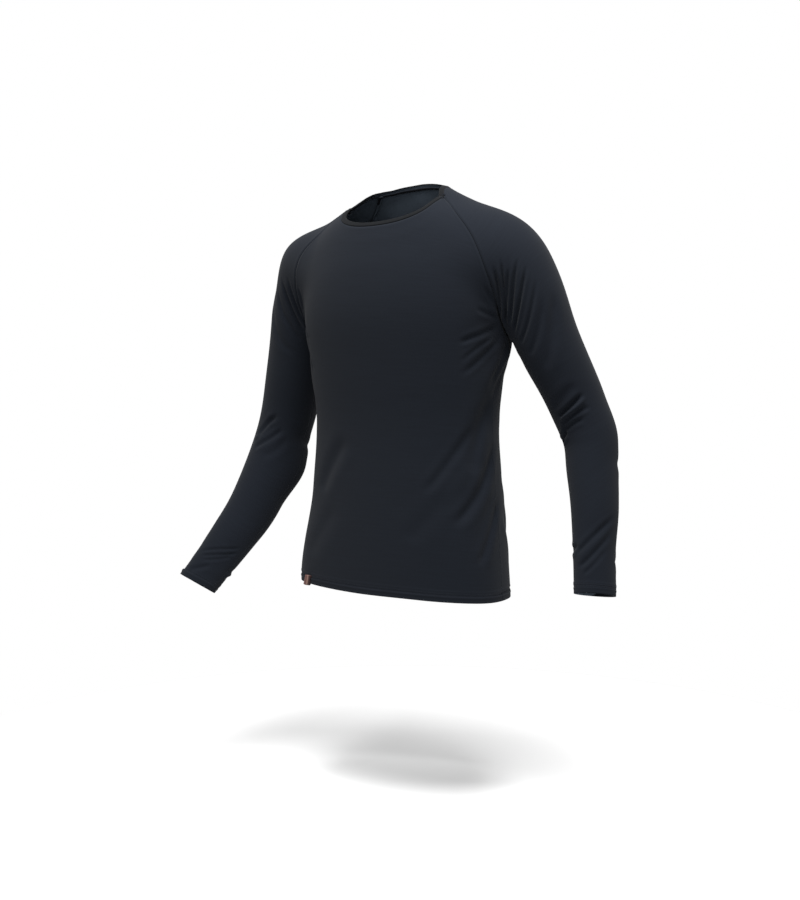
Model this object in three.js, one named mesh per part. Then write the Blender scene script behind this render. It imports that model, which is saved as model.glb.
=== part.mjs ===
// A long-sleeved crew-neck base layer top in thin knitted jersey, with raglan sleeves, filled out as
// it is worn. Millimetres, +Z up, the front faces -Y and +X is the wearer's left. The origin is the
// middle of the neck, at the height where the neck meets the shoulders.
// All the cloth lies on one smooth form, blended from sections of the torso and of both sleeves. Each
// panel is a grid of points on that form, moved out or in by the folds, and then given a wall.
import * as THREE from "three";

// Sizes of the cut and of the cloth
const WALL = 1.5;
const SEAM_GAP = 0.5;
const HEM_HEIGHT = 12;
const HEM_EXTRA = 0.8;
const HEM_DROP_FRONT = 633;
const HEM_DROP_BACK = 641;
const FRONT_NECK_DROP = 62;
const BACK_NECK_DROP = -6;
const SIDE_SEAM_BACK = 16;
const UNDERARM_DIP = 12;
const CAP_START = 17;
const CAP_LENGTH = 235;
const SLEEVE_END = { left: 668, right: 745 };
const NECKBAND = { width: 15, wall: 2.2, proud: 0.4 };
const TAB = { width: 15, above: 15, below: 3, wall: 1.1, crown: 2.6, around: -56 };

// How many rows and columns of points the panels have
const BODY_ROWS = 19;
const YOKE_ROWS = 12;
const FRONT_COLUMNS = 26;
const BACK_COLUMNS = 22;
const SLEEVE_COLUMNS = 20;
const SLEEVE_ROWS = 28;
const NECKBAND_ROWS = 3;

// Sections of the torso by height: half its width, and its depth forwards and backwards
const TORSO = [
  { z: -740, half: 180, front: 104, back: 119 },
  { z: -650, half: 179, front: 103, back: 118 },
  { z: -560, half: 173, front: 101, back: 115 },
  { z: -470, half: 165, front: 98, back: 110 },
  { z: -375, half: 158, front: 98, back: 103 },
  { z: -280, half: 167, front: 107, back: 110 },
  { z: -195, half: 177, front: 115, back: 120 },
  { z: -130, half: 173, front: 111, back: 118 },
  { z: -85, half: 151, front: 101, back: 106 },
  { z: -50, half: 120, front: 92, back: 88 },
  { z: -25, half: 91, front: 85, back: 67 },
  { z: 0, half: 76, front: 79, back: 54 },
  { z: 40, half: 67, front: 71, back: 42 },
];
const SQUARENESS = 2.3;

// Centre line of each sleeve from the neck to past the cuff, with half its width across and its depth
const LEFT_SLEEVE = [
  { x: 55, y: 4, z: -70, wide: 44, deep: 44 },
  { x: 120, y: 6, z: -86, wide: 54, deep: 54 },
  { x: 172, y: 10, z: -114, wide: 60, deep: 60 },
  { x: 206, y: 20, z: -165, wide: 56, deep: 57 },
  { x: 238, y: 42, z: -252, wide: 49, deep: 49 },
  { x: 269, y: 70, z: -331, wide: 45, deep: 45 },
  { x: 289, y: 78, z: -384, wide: 41, deep: 43 },
  { x: 298, y: 70, z: -430, wide: 40, deep: 40 },
  { x: 309, y: 56, z: -480, wide: 37, deep: 35 },
  { x: 319, y: 38, z: -552, wide: 34, deep: 29 },
  { x: 327, y: 20, z: -622, wide: 32, deep: 25 },
  { x: 331, y: 8, z: -670, wide: 32, deep: 25 },
];
const RIGHT_SLEEVE = [
  { x: -55, y: 4, z: -70, wide: 44, deep: 44 },
  { x: -120, y: 6, z: -86, wide: 54, deep: 54 },
  { x: -172, y: 10, z: -114, wide: 60, deep: 60 },
  { x: -210, y: 20, z: -165, wide: 58, deep: 58 },
  { x: -244, y: 32, z: -290, wide: 51, deep: 50 },
  { x: -273, y: 34, z: -400, wide: 46, deep: 45 },
  { x: -298, y: -10, z: -521, wide: 43, deep: 40 },
  { x: -321, y: -52, z: -589, wide: 38, deep: 33 },
  { x: -350, y: -100, z: -660, wide: 32, deep: 25 },
  { x: -370, y: -134, z: -710, wide: 32, deep: 25 },
];
// The direction in which a sleeve is widest
const WIDE_WAY = { left: new THREE.Vector3(0.85, 0.53, 0), right: new THREE.Vector3(0.73, 0.46, -0.5) };

// How far the sleeves and the torso melt into each other, by height
const BLEND = [
  { z: -760, soft: 6 },
  { z: -260, soft: 8 },
  { z: -200, soft: 26 },
  { z: -120, soft: 60 },
  { z: 40, soft: 60 },
];

// The raglan seams of the wearer's left side, from the underarm to the neck
const FRONT_SEAM = [
  { x: 176, y: 16, z: -235 },
  { x: 181, y: -20, z: -209 },
  { x: 184, y: -42, z: -176 },
  { x: 178, y: -58, z: -141 },
  { x: 170, y: -68, z: -107 },
  { x: 157, y: -70, z: -76 },
  { x: 132, y: -60, z: -48 },
  { x: 94, y: -34, z: -25 },
];
const BACK_SEAM = [
  { x: 176, y: 16, z: -235 },
  { x: 171, y: 46, z: -224 },
  { x: 173, y: 68, z: -186 },
  { x: 176, y: 79, z: -143 },
  { x: 166, y: 86, z: -102 },
  { x: 146, y: 86, z: -66 },
  { x: 117, y: 70, z: -34 },
  { x: 81, y: 38, z: 0 },
];

// How far the neckband leans in from the panels' slope, in degrees, by the way round from the front
const NECKBAND_LEAN = [
  { around: 0, lean: 26 },
  { around: 90, lean: 20 },
  { around: 180, lean: 8 },
];

// The figure stands at ease: its shoulders drop towards its right, and its hips towards its left
const LEAN = [
  { z: -760, slope: -0.048 },
  { z: -600, slope: -0.045 },
  { z: -380, slope: -0.015 },
  { z: -180, slope: 0.035 },
  { z: 40, slope: 0.06 },
];

// The largest folds: each runs from its first point to its second one with a bow to its side. A ridge
// has a positive depth and a trough a negative one.
const FOLDS = [
  { x: 177, y: -12, z: -220, toX: 137, toY: -74, toZ: -244, bow: 4, width: 17, depth: -3.6 },
  { x: 182, y: -24, z: -200, toX: 165, toY: -54, toZ: -172, bow: 0, width: 14, depth: -3 },
  { x: 175, y: -8, z: -238, toX: 139, toY: -66, toZ: -286, bow: -4, width: 17, depth: -3.2 },
  { x: 172, y: 0, z: -252, toX: 150, toY: -46, toZ: -332, bow: -4, width: 19, depth: 2.6 },
  { x: 165, y: 2, z: -306, toX: 94, toY: -85, toZ: -458, bow: -10, width: 28, depth: -4.2 },
  { x: 164, y: 0, z: -356, toX: 122, toY: -73, toZ: -484, bow: -6, width: 25, depth: 3.2 },
  { x: 160, y: 2, z: -398, toX: 132, toY: -68, toZ: -520, bow: 7, width: 23, depth: -4.4 },
  { x: 166, y: -4, z: -474, toX: 158, toY: -50, toZ: -582, bow: 4, width: 21, depth: -3.8 },
  { x: -56, y: -93, z: -398, toX: -116, toY: -76, toZ: -484, bow: 10, width: 21, depth: -2.6 },
  { x: -166, y: -58, z: -146, toX: -168, toY: -52, toZ: -188, bow: 0, width: 13, depth: -2.4 },
  { x: -180, y: -20, z: -212, toX: -146, toY: -70, toZ: -184, bow: 3, width: 16, depth: -3 },
  { x: -177, y: -10, z: -238, toX: -138, toY: -76, toZ: -268, bow: 4, width: 18, depth: -3.2 },
  { x: -168, y: 0, z: -288, toX: -132, toY: -64, toZ: -372, bow: 8, width: 24, depth: -2.6 },
  { x: 182, y: 28, z: -212, toX: 140, toY: 88, toZ: -188, bow: -4, width: 18, depth: -3.2 },
  { x: 177, y: 22, z: -240, toX: 132, toY: 88, toZ: -272, bow: 5, width: 19, depth: -3.6 },
  { x: -182, y: 28, z: -214, toX: -136, toY: 88, toZ: -196, bow: 4, width: 18, depth: -3.4 },
  { x: -176, y: 22, z: -246, toX: -126, toY: 90, toZ: -296, bow: -5, width: 20, depth: -3.4 },
  { x: -152, y: 46, z: -352, toX: -52, toY: 100, toZ: -418, bow: 12, width: 29, depth: -4.4 },
  { x: 154, y: 44, z: -338, toX: 44, toY: 102, toZ: -404, bow: -12, width: 27, depth: -4 },
  { x: -158, y: 42, z: -436, toX: -70, toY: 106, toZ: -526, bow: 9, width: 27, depth: -3.6 },
  { x: 160, y: 38, z: -446, toX: 84, toY: 102, toZ: -548, bow: -9, width: 25, depth: -3.8 },
  { x: 36, y: 106, z: -292, toX: -72, toY: 100, toZ: -346, bow: 8, width: 24, depth: -2.4 },
  { x: 200, y: -47, z: -132, toX: 190, toY: -24, toZ: -202, bow: 3, width: 12, depth: -3.4 },
  { x: 212, y: -43, z: -146, toX: 201, toY: -15, toZ: -220, bow: 6, width: 12, depth: -3.2 },
  { x: 223, y: -39, z: -138, toX: 211, toY: -13, toZ: -236, bow: 8, width: 13, depth: -3.6 },
  { x: 234, y: -31, z: -156, toX: 224, toY: -9, toZ: -252, bow: 8, width: 14, depth: -3 },
  { x: 261, y: -3, z: -176, toX: 258, toY: -2, toZ: -262, bow: 4, width: 18, depth: -2 },
  { x: 297, y: 36, z: -318, toX: 252, toY: 40, toZ: -358, bow: 3, width: 15, depth: -4 },
  { x: 292, y: 33, z: -338, toX: 254, toY: 42, toZ: -368, bow: 2, width: 13, depth: 3.2 },
  { x: 297, y: 36, z: -352, toX: 262, toY: 44, toZ: -378, bow: 2, width: 14, depth: -3.6 },
  { x: 346, y: 42, z: -500, toX: 298, toY: 10, toZ: -551, bow: 5, width: 15, depth: -2.6 },
  { x: 346, y: 32, z: -533, toX: 310, toY: 2, toZ: -580, bow: 4, width: 14, depth: -2.4 },
  { x: 222, y: 76, z: -148, toX: 204, toY: 52, toZ: -216, bow: -5, width: 14, depth: -3.2 },
  { x: 240, y: 80, z: -168, toX: 216, toY: 68, toZ: -244, bow: -6, width: 15, depth: -3 },
  { x: 324, y: 100, z: -372, toX: 282, toY: 120, toZ: -396, bow: 4, width: 18, depth: -2.6 },
  { x: -260, y: -10, z: -374, toX: -292, toY: -6, toZ: -406, bow: 4, width: 15, depth: -3.6 },
  { x: -246, y: -8, z: -388, toX: -290, toY: -14, toZ: -422, bow: 4, width: 15, depth: -3 },
  { x: -236, y: 16, z: -392, toX: -242, toY: 50, toZ: -424, bow: 3, width: 16, depth: -3 },
  { x: -340, y: -100, z: -608, toX: -292, toY: -66, toZ: -606, bow: 4, width: 12, depth: -2.2 },
  { x: -346, y: -108, z: -624, toX: -298, toY: -78, toZ: -624, bow: 4, width: 12, depth: -2.2 },
  { x: -208, y: -42, z: -138, toX: -193, toY: -18, toZ: -206, bow: -5, width: 13, depth: -3.4 },
  { x: -226, y: -38, z: -150, toX: -209, toY: -14, toZ: -234, bow: -7, width: 14, depth: -3.2 },
  { x: -226, y: 74, z: -152, toX: -206, toY: 54, toZ: -220, bow: 5, width: 14, depth: -3.2 },
  { x: -244, y: 74, z: -180, toX: -216, toY: 62, toZ: -252, bow: 6, width: 15, depth: -2.8 },
];

const V = (x, y, z) => new THREE.Vector3(x, y, z);
const clamp = (value) => Math.min(1, Math.max(0, value));
const smooth = (value) => clamp(value) ** 2 * (3 - 2 * clamp(value));
const mix = (a, b, share) => a + (b - a) * share;
const radians = (degrees) => (degrees * Math.PI) / 180;

// Reads a table at a value of its ordering column, with a smooth curve through each other column
function readTable(rows, by, at) {
  const up = rows[rows.length - 1][by] > rows[0][by];
  let i = 0;
  while (i < rows.length - 2 && (up ? rows[i + 1][by] <= at : rows[i + 1][by] >= at)) i += 1;
  const [before, a, b, after] = [rows[Math.max(0, i - 1)], rows[i], rows[i + 1],
    rows[Math.min(rows.length - 1, i + 2)]];
  const span = b[by] - a[by];
  const t = clamp((at - a[by]) / span);
  const found = {};
  for (const key of Object.keys(a)) {
    const slopeA = (b[key] - before[key]) / (b[by] - before[by]) * span;
    const slopeB = (after[key] - a[key]) / (after[by] - a[by]) * span;
    const rise = b[key] - a[key];
    found[key] = a[key] + t * (slopeA + t * (3 * rise - 2 * slopeA - slopeB + t * (slopeA + slopeB - 2 * rise)));
  }
  return found;
}

// How far a point is outside the torso, measured level from its middle
function torsoDistance(p) {
  const section = readTable(TORSO, "z", p.z);
  const depth = p.y < 0 ? section.front : section.back;
  const out = Math.hypot(p.x, p.y) + 1e-6;
  const share = (Math.abs(p.x / section.half) ** SQUARENESS + Math.abs(p.y / depth) ** SQUARENESS)
    ** (1 / SQUARENESS) + 1e-9;
  return out - out / share;
}

// A sleeve's centre line as close points, each with its section
function centreLine(rows, wideWay) {
  const steps = 90;
  const numbered = rows.map((row, i) => ({ at: i, ...row }));
  const line = [];
  for (let i = 0; i <= steps; i += 1) {
    const row = readTable(numbered, "at", (i / steps) * (rows.length - 1));
    line.push({ centre: V(row.x, row.y, row.z), wide: row.wide, deep: row.deep });
  }
  line.forEach((spot, i) => {
    const from = line[Math.max(0, i - 1)].centre;
    spot.along = line[Math.min(steps, i + 1)].centre.clone().sub(from).normalize();
    spot.across = wideWay.clone().addScaledVector(spot.along, -wideWay.dot(spot.along)).normalize();
    spot.length = i ? line[i - 1].length + spot.centre.distanceTo(line[i - 1].centre) : 0;
  });
  return line;
}

const SLEEVE_LINES = {
  left: centreLine(LEFT_SLEEVE, WIDE_WAY.left),
  right: centreLine(RIGHT_SLEEVE, WIDE_WAY.right),
};

// How far a point is outside a sleeve
function sleeveDistance(p, line) {
  let nearest = Infinity;
  let found = null;
  for (let i = 0; i < line.length - 1; i += 1) {
    const a = line[i].centre;
    const b = line[i + 1].centre;
    const [dx, dy, dz] = [b.x - a.x, b.y - a.y, b.z - a.z];
    const t = clamp(((p.x - a.x) * dx + (p.y - a.y) * dy + (p.z - a.z) * dz)
      / (dx * dx + dy * dy + dz * dz));
    const away = (p.x - a.x - t * dx) ** 2 + (p.y - a.y - t * dy) ** 2 + (p.z - a.z - t * dz) ** 2;
    if (away < nearest) {
      nearest = away;
      found = { i, t };
    }
  }
  const [a, b] = [line[found.i], line[found.i + 1]];
  const off = p.clone().sub(a.centre.clone().lerp(b.centre, found.t));
  const across = off.dot(a.across);
  const rest = Math.sqrt(Math.max(0, off.lengthSq() - across * across));
  const share = Math.hypot(across / mix(a.wide, b.wide, found.t), rest / mix(a.deep, b.deep, found.t)) + 1e-9;
  return off.length() - off.length() / share;
}

// The smaller of two distances, rounded over where they are close
function softMin(a, b, soft) {
  const near = Math.max(soft - Math.abs(a - b), 0) / soft;
  return Math.min(a, b) - near * near * soft * 0.25;
}

// The smooth form that all the cloth lies on: negative inside, zero on its surface
function formDistance(p) {
  const { soft } = readTable(BLEND, "z", p.z);
  const sleeve = p.x > 0 ? SLEEVE_LINES.left : SLEEVE_LINES.right;
  return softMin(torsoDistance(p), sleeveDistance(p, sleeve), soft);
}

function formSlope(p) {
  const step = 0.5;
  const slope = (axis) => {
    const ahead = p.clone();
    const behind = p.clone();
    ahead[axis] += step;
    behind[axis] -= step;
    return (formDistance(ahead) - formDistance(behind)) / (2 * step);
  };
  return V(slope("x"), slope("y"), slope("z"));
}

// The point of the form nearest to a guess, with the way out of the cloth there
function ontoForm(guess) {
  const point = guess.clone();
  const longest = 12;
  let slope = formSlope(point);
  for (let i = 0; i < 14; i += 1) {
    const move = -formDistance(point) / Math.max(slope.lengthSq(), 0.05);
    point.addScaledVector(slope, Math.max(-longest, Math.min(longest, move)));
    slope = formSlope(point);
  }
  return { point, out: slope.normalize() };
}

// Each fold as a row of points on the form, from one end to the other
const FOLD_PATHS = FOLDS.map((fold) => {
  const [from, to] = [V(fold.x, fold.y, fold.z), V(fold.toX, fold.toY, fold.toZ)];
  const { out } = ontoForm(from.clone().lerp(to, 0.5));
  const aside = to.clone().sub(from).normalize().cross(out);
  const steps = 8;
  const spots = Array.from({ length: steps + 1 }, (_, i) => {
    const t = i / steps;
    return ontoForm(from.clone().lerp(to, t).addScaledVector(aside, fold.bow * 4 * t * (1 - t)));
  });
  return { ...fold, spots };
});

// How far the folds lift the cloth at a point of the form. Cloth that faces another way isn't lifted.
function foldLift({ point, out }) {
  let lift = 0;
  for (const { spots, width, depth } of FOLD_PATHS) {
    let best = { away: Infinity };
    for (let i = 0; i < spots.length - 1; i += 1) {
      const a = spots[i].point;
      const step = spots[i + 1].point.clone().sub(a);
      const t = clamp(point.clone().sub(a).dot(step) / step.lengthSq());
      const away = point.distanceTo(a.clone().addScaledVector(step, t));
      if (away < best.away) best = { away, at: (i + t) / (spots.length - 1), out: spots[i].out };
    }
    if (best.away < width * 1.6) {
      const across = Math.exp(-((best.away / (0.55 * width)) ** 2));
      const ends = smooth(best.at * 4) * smooth((1 - best.at) * 2.5);
      lift += depth * across * ends * smooth(2 * out.dot(best.out));
    }
  }
  return lift;
}

// A point of a panel: on the form, then moved by the folds
function clothAt(guess) {
  const spot = ontoForm(guess);
  spot.point.addScaledVector(spot.out, foldLift(spot));
  return spot;
}

// A seam as a curve through its table, mirrored for the wearer's right side, and laid on the form. Its
// way out is smoothed along it, so that the walls on both of its sides end in one even strip.
function seamCurve(rows, side) {
  const curve = new THREE.CatmullRomCurve3(rows.map((row) => V(row.x * side, row.y, row.z)));
  const at = (t) => ontoForm(curve.getPointAt(clamp(t)));
  return (t) => {
    const out = V(0, 0, 0);
    for (let near = -2; near <= 2; near += 1) out.add(at(t + near * 0.04).out);
    return { point: at(t).point, out: out.normalize() };
  };
}

function seamPair(side) {
  const [front, back] = [seamCurve(FRONT_SEAM, side), seamCurve(BACK_SEAM, side)];
  const underarm = front(0).out.add(back(0).out).normalize();
  const meet = (seam) => (t) => {
    const { point, out } = seam(t);
    return { point, out: underarm.clone().lerp(out, smooth(t * 5)).normalize() };
  };
  return { side, front: meet(front), back: meet(back) };
}

const SEAMS = { left: seamPair(1), right: seamPair(-1) };

// A point round the torso's section: 0 is its middle, and a quarter turn the wearer's left side
function torsoPoint(angle, z, facing) {
  const section = readTable(TORSO, "z", z);
  const power = 2 / SQUARENESS;
  const [sine, cosine] = [Math.sin(angle), Math.cos(angle)];
  return V(
    section.half * Math.sign(sine) * Math.abs(sine) ** power,
    facing * (facing < 0 ? section.front : section.back) * Math.abs(cosine) ** power,
    z,
  );
}

function torsoAngle(point, facing) {
  const section = readTable(TORSO, "z", point.z);
  const depth = facing < 0 ? section.front : section.back;
  const half = SQUARENESS / 2;
  return Math.atan2(
    Math.sign(point.x) * Math.abs(point.x / section.half) ** half,
    Math.max(0, (facing * point.y) / depth) ** half,
  );
}

const hemHeight = (angle, facing) => {
  const side = -(HEM_DROP_FRONT + HEM_DROP_BACK) / 2;
  return mix(facing < 0 ? -HEM_DROP_FRONT : -HEM_DROP_BACK, side, Math.sin(angle) ** 2);
};

// Columns lie closer together towards a panel's side edges, where it bends and creases most
const column = (i, count) => {
  const w = (2 * i) / count - 1;
  return w + 0.1 * Math.sin(Math.PI * w);
};

// The rows of the front or back panel, from the hem to the neck. The turned-up hem is thicker.
function bodyPanel(facing, columns) {
  const key = facing < 0 ? "front" : "back";
  const neckDrop = facing < 0 ? FRONT_NECK_DROP : BACK_NECK_DROP;
  const ends = (t) => [SEAMS.right[key](t), SEAMS.left[key](t)];
  const underarm = SEAMS.left[key](0).point.z;
  const rows = [];
  for (let r = -2; r < BODY_ROWS; r += 1) {
    const row = [];
    for (let i = 0; i <= columns; i += 1) {
      const angle = (column(i, columns) * Math.PI) / 2;
      const hem = hemHeight(angle, facing);
      const start = HEM_HEIGHT + HEM_EXTRA;
      const above = r < 0 ? (r + 2) * HEM_HEIGHT : mix(start, underarm - hem, r / (BODY_ROWS - 1));
      const guess = torsoPoint(angle, hem + above, facing);
      const atSide = Math.abs(Math.sin(angle)) ** 12;
      guess.y += SIDE_SEAM_BACK * atSide * smooth((guess.z - underarm) / 110 + 1);
      guess.z -= UNDERARM_DIP * atSide * smooth((r - BODY_ROWS + 5) / 4);
      if (r === BODY_ROWS - 1 && (i === 0 || i === columns)) guess.copy(ends(0)[i ? 1 : 0].point);
      row.push({ ...clothAt(guess), extra: r < 0 ? HEM_EXTRA : 0 });
    }
    if (r === BODY_ROWS - 1) [row[0].out, row[columns].out] = ends(0).map((end) => end.out);
    rows.push(row);
  }
  for (let r = 1; r <= YOKE_ROWS; r += 1) {
    const t = r / YOKE_ROWS;
    const edges = ends(t);
    const row = [];
    for (let i = 0; i <= columns; i += 1) {
      const w = column(i, columns);
      const edge = edges[w < 0 ? 0 : 1].point;
      const middle = mix(underarm, -neckDrop, t ** 1.1);
      const z = mix(middle, edge.z, 1 - Math.cos((w * Math.PI) / 2) ** 1.3);
      const edgeAngle = torsoAngle(edge, facing);
      const guess = torsoPoint(Math.abs(w) * edgeAngle, z, facing);
      const miss = edge.clone().sub(torsoPoint(edgeAngle, edge.z, facing));
      guess.addScaledVector(miss, w ** 4);
      row.push(clothAt(guess));
    }
    [row[0].out, row[columns].out] = edges.map((edge) => edge.out);
    rows.push(row);
  }
  return rows;
}

// Where a sleeve's rows are centred, by distance along its centre line
function spotAt(line, length) {
  let i = 0;
  while (i < line.length - 2 && line[i + 1].length < length) i += 1;
  const [a, b] = [line[i], line[i + 1]];
  const t = clamp((length - a.length) / (b.length - a.length));
  return {
    centre: a.centre.clone().lerp(b.centre, t),
    along: a.along.clone().lerp(b.along, t).normalize(),
    across: a.across.clone().lerp(b.across, t).normalize(),
    wide: mix(a.wide, b.wide, t),
    deep: mix(a.deep, b.deep, t),
  };
}

// The rows of a sleeve, from the neck to the cuff. A row of the cap runs over the shoulder from the
// front raglan seam to the back one, and a row below the underarm is a closed ring.
function sleevePanel(which) {
  const { side, front, back } = SEAMS[which];
  const line = SLEEVE_LINES[which];
  const rows = [];
  const axes = (spot) => {
    const forward = V(0, -1, 0).addScaledVector(spot.along, spot.along.y).normalize();
    const up = forward.clone().cross(spot.along).multiplyScalar(side).normalize();
    return { forward, up };
  };
  const place = (spot, point) => {
    const { forward, up } = axes(spot);
    const off = point.clone().sub(spot.centre);
    return {
      turn: Math.atan2(off.dot(forward), off.dot(up)),
      radius: Math.hypot(off.dot(forward), off.dot(up)),
      ahead: off.dot(spot.along),
    };
  };
  const build = (spot, starts, stops) => {
    const { forward, up } = axes(spot);
    const row = [];
    for (let i = 0; i <= SLEEVE_COLUMNS; i += 1) {
      const w = i / SLEEVE_COLUMNS;
      const nearEnd = Math.abs(2 * w - 1) ** 2.4;
      const end = w < 0.5 ? starts : stops;
      const turn = mix(starts.turn, stops.turn, w);
      const radius = mix((spot.wide + spot.deep) / 2, end.radius, nearEnd);
      row.push(clothAt(spot.centre.clone()
        .addScaledVector(up, Math.cos(turn) * radius)
        .addScaledVector(forward, Math.sin(turn) * radius)
        .addScaledVector(spot.along, end.ahead * nearEnd)));
    }
    return row;
  };
  const positive = (turn) => (turn < 0 ? turn + 2 * Math.PI : turn);
  const start = CAP_START + CAP_LENGTH;
  for (let r = YOKE_ROWS; r > 0; r -= 1) {
    const t = r / YOKE_ROWS;
    const spot = spotAt(line, CAP_START + CAP_LENGTH * (1 - t) ** 0.9);
    const [starts, stops] = [place(spot, front(t).point), place(spot, back(t).point)];
    starts.turn = positive(starts.turn);
    stops.turn = positive(stops.turn) - 2 * Math.PI;
    const row = build(spot, starts, stops);
    [row[0].out, row[SLEEVE_COLUMNS].out] = [front(t).out, back(t).out];
    rows.push(row);
  }
  const underarm = place(spotAt(line, start), front(0).point);
  const cuffStart = SLEEVE_END[which] - HEM_HEIGHT;
  for (let r = 0; r <= SLEEVE_ROWS; r += 1) {
    const plain = SLEEVE_ROWS - 2;
    const length = r <= plain
      ? mix(start, cuffStart - HEM_EXTRA, r / plain)
      : cuffStart + (r - plain - 1) * HEM_HEIGHT;
    const spot = spotAt(line, length);
    const fade = smooth(r / 9);
    const radius = mix(underarm.radius, spot.deep, fade);
    const turn = mix(positive(underarm.turn), Math.PI, fade);
    const ahead = underarm.ahead * (1 - smooth(r / 6));
    const row = build(spot, { turn, radius, ahead }, { turn: turn - 2 * Math.PI, radius, ahead });
    if (r === 0) [row[0].out, row[SLEEVE_COLUMNS].out] = [front(0).out, front(0).out];
    row.forEach((point) => { point.extra = r > plain ? HEM_EXTRA : 0; });
    rows.push(row);
  }
  return rows;
}

// The rows of the neckband, from the seam that joins it to the panels to its rim. Its columns follow
// the panels' top rows, round from the wearer's right front.
function neckbandRows(front, left, back, right) {
  const top = (rows) => rows[rows.length - 1];
  const everyOther = (row) => row.filter((_, i) => i % 2 === 0);
  const ring = [
    ...top(front).slice(0, -1),
    ...everyOther(left[0]).slice(0, -1),
    ...[...top(back)].reverse().slice(0, -1),
    ...everyOther([...right[0]].reverse()).slice(0, -1),
  ];
  const columns = ring.map((spot, i) => {
    const before = ring[(i + ring.length - 1) % ring.length].point;
    const along = ring[(i + 1) % ring.length].point.clone().sub(before).normalize();
    const up = spot.out.clone().cross(along).normalize();
    const around = Math.abs(Math.atan2(spot.point.x, -spot.point.y)) * 180 / Math.PI;
    const lean = radians(readTable(NECKBAND_LEAN, "around", around).lean);
    const rise = up.clone().multiplyScalar(Math.cos(lean)).addScaledVector(spot.out, -Math.sin(lean));
    const out = spot.out.clone().multiplyScalar(Math.cos(lean)).addScaledVector(up, Math.sin(lean));
    return { spot, up, rise, out };
  });
  const rows = [];
  for (let r = 0; r <= NECKBAND_ROWS; r += 1) {
    const height = mix(SEAM_GAP / 2, NECKBAND.width, r / NECKBAND_ROWS);
    const row = columns.map(({ spot, up, rise, out }) => {
      const [way, face] = r === 0 ? [up, spot.out] : [rise, out];
      return {
        point: spot.point.clone().addScaledVector(way, height).addScaledVector(face, NECKBAND.proud),
        out: face.clone(),
      };
    });
    rows.push([...row, row[0]]);
  }
  return rows;
}

// The rows of the small tab that is folded over the hem on the wearer's right: the front's own points
// there, moved out, and arched like a stiff tape
function tabRows() {
  const rows = [];
  const [middle, steps] = [radians(TAB.around), 4];
  const reach = (at) => torsoPoint(middle + at, -HEM_DROP_FRONT, -1);
  const halfTurn = TAB.width / 2 / (reach(0.02).distanceTo(reach(-0.02)) / 0.04);
  for (let r = 0; r <= steps; r += 1) {
    const row = [];
    for (let i = 0; i <= steps; i += 1) {
      const angle = middle + mix(-halfTurn, halfTurn, i / steps);
      const above = mix(-TAB.below, TAB.above, r / steps);
      const spot = clothAt(torsoPoint(angle, hemHeight(angle, -1) + above, -1));
      const crown = TAB.crown * Math.sin((Math.PI * i) / steps) * (1 - 0.6 * (r / steps));
      spot.point.addScaledVector(spot.out, 0.35 + TAB.wall + crown);
      row.push(spot);
    }
    rows.push(row);
  }
  return rows;
}

// Leans a point with the figure: level lines across the body tip by the slope at their height
function leaned(point) {
  const { slope } = readTable(LEAN, "z", point.z);
  return V(point.x, point.y, point.z + slope * point.x);
}

// Moves the edge points of a grid back towards their neighbours, so that pieces part at their seams
function partSeams(rows, { start, end, first, last }) {
  const back = (edge, inner) => {
    const way = inner.point.clone().sub(edge.point);
    edge.point.addScaledVector(way.normalize(), SEAM_GAP / 2);
  };
  if (first) rows[0].forEach((spot, i) => back(spot, rows[1][i]));
  if (last) rows[rows.length - 1].forEach((spot, i) => back(spot, rows[rows.length - 2][i]));
  rows.forEach((row, r) => {
    if (start(r)) back(row[0], row[1]);
    if (end(r)) back(row[row.length - 1], row[row.length - 2]);
  });
}

// A closed wall from a grid of points: an outer and an inner skin joined round every open edge. A row
// that is a ring shares its first and last points.
function wallGeometry(rows, wall, ring) {
  const points = [];
  const count = rows[0].length;
  const index = rows.map((row, r) => row.map((spot, i) => {
    if (ring(r) && i === count - 1) return null;
    points.push(leaned(spot.point));
    points.push(leaned(spot.point.clone().addScaledVector(spot.out, -(wall + (spot.extra || 0)))));
    return points.length - 2;
  }));
  index.forEach((row) => { if (row[count - 1] === null) row[count - 1] = row[0]; });
  const faces = [];
  const quad = (a, b, c, d) => {
    if (points[a].distanceTo(points[c]) <= points[b].distanceTo(points[d])) faces.push([a, b, c], [a, c, d]);
    else faces.push([a, b, d], [b, c, d]);
  };
  for (let r = 0; r < rows.length - 1; r += 1) {
    for (let i = 0; i < count - 1; i += 1) {
      const [a, b, c, d] = [index[r][i], index[r][i + 1], index[r + 1][i + 1], index[r + 1][i]];
      quad(a, b, c, d);
      quad(a + 1, d + 1, c + 1, b + 1);
    }
    if (index[r][0] !== index[r][count - 1] || index[r + 1][0] !== index[r + 1][count - 1]) {
      const [a, d] = [index[r][0], index[r + 1][0]];
      const [b, c] = [index[r][count - 1], index[r + 1][count - 1]];
      quad(a, d, d + 1, a + 1);
      quad(b, b + 1, c + 1, c);
    }
  }
  const last = rows.length - 1;
  for (let i = 0; i < count - 1; i += 1) {
    const [a, b] = [index[0][i], index[0][i + 1]];
    const [c, d] = [index[last][i + 1], index[last][i]];
    quad(a, a + 1, b + 1, b);
    quad(d, c, c + 1, d + 1);
  }
  const used = faces.filter(([a, b, c]) => a !== b && b !== c && a !== c);
  const geometry = new THREE.BufferGeometry();
  geometry.setAttribute("position", new THREE.BufferAttribute(
    new Float32Array(points.flatMap((p) => [p.x, p.y, p.z])), 3));
  geometry.setIndex(used.flat());
  geometry.computeVertexNormals();
  return geometry;
}

const JERSEY = { color: 0x24282f, roughness: 0.85, metalness: 0 };
const TAPE = { color: 0x5c4744, roughness: 0.7, metalness: 0 };
const garment = new THREE.Group();

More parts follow.
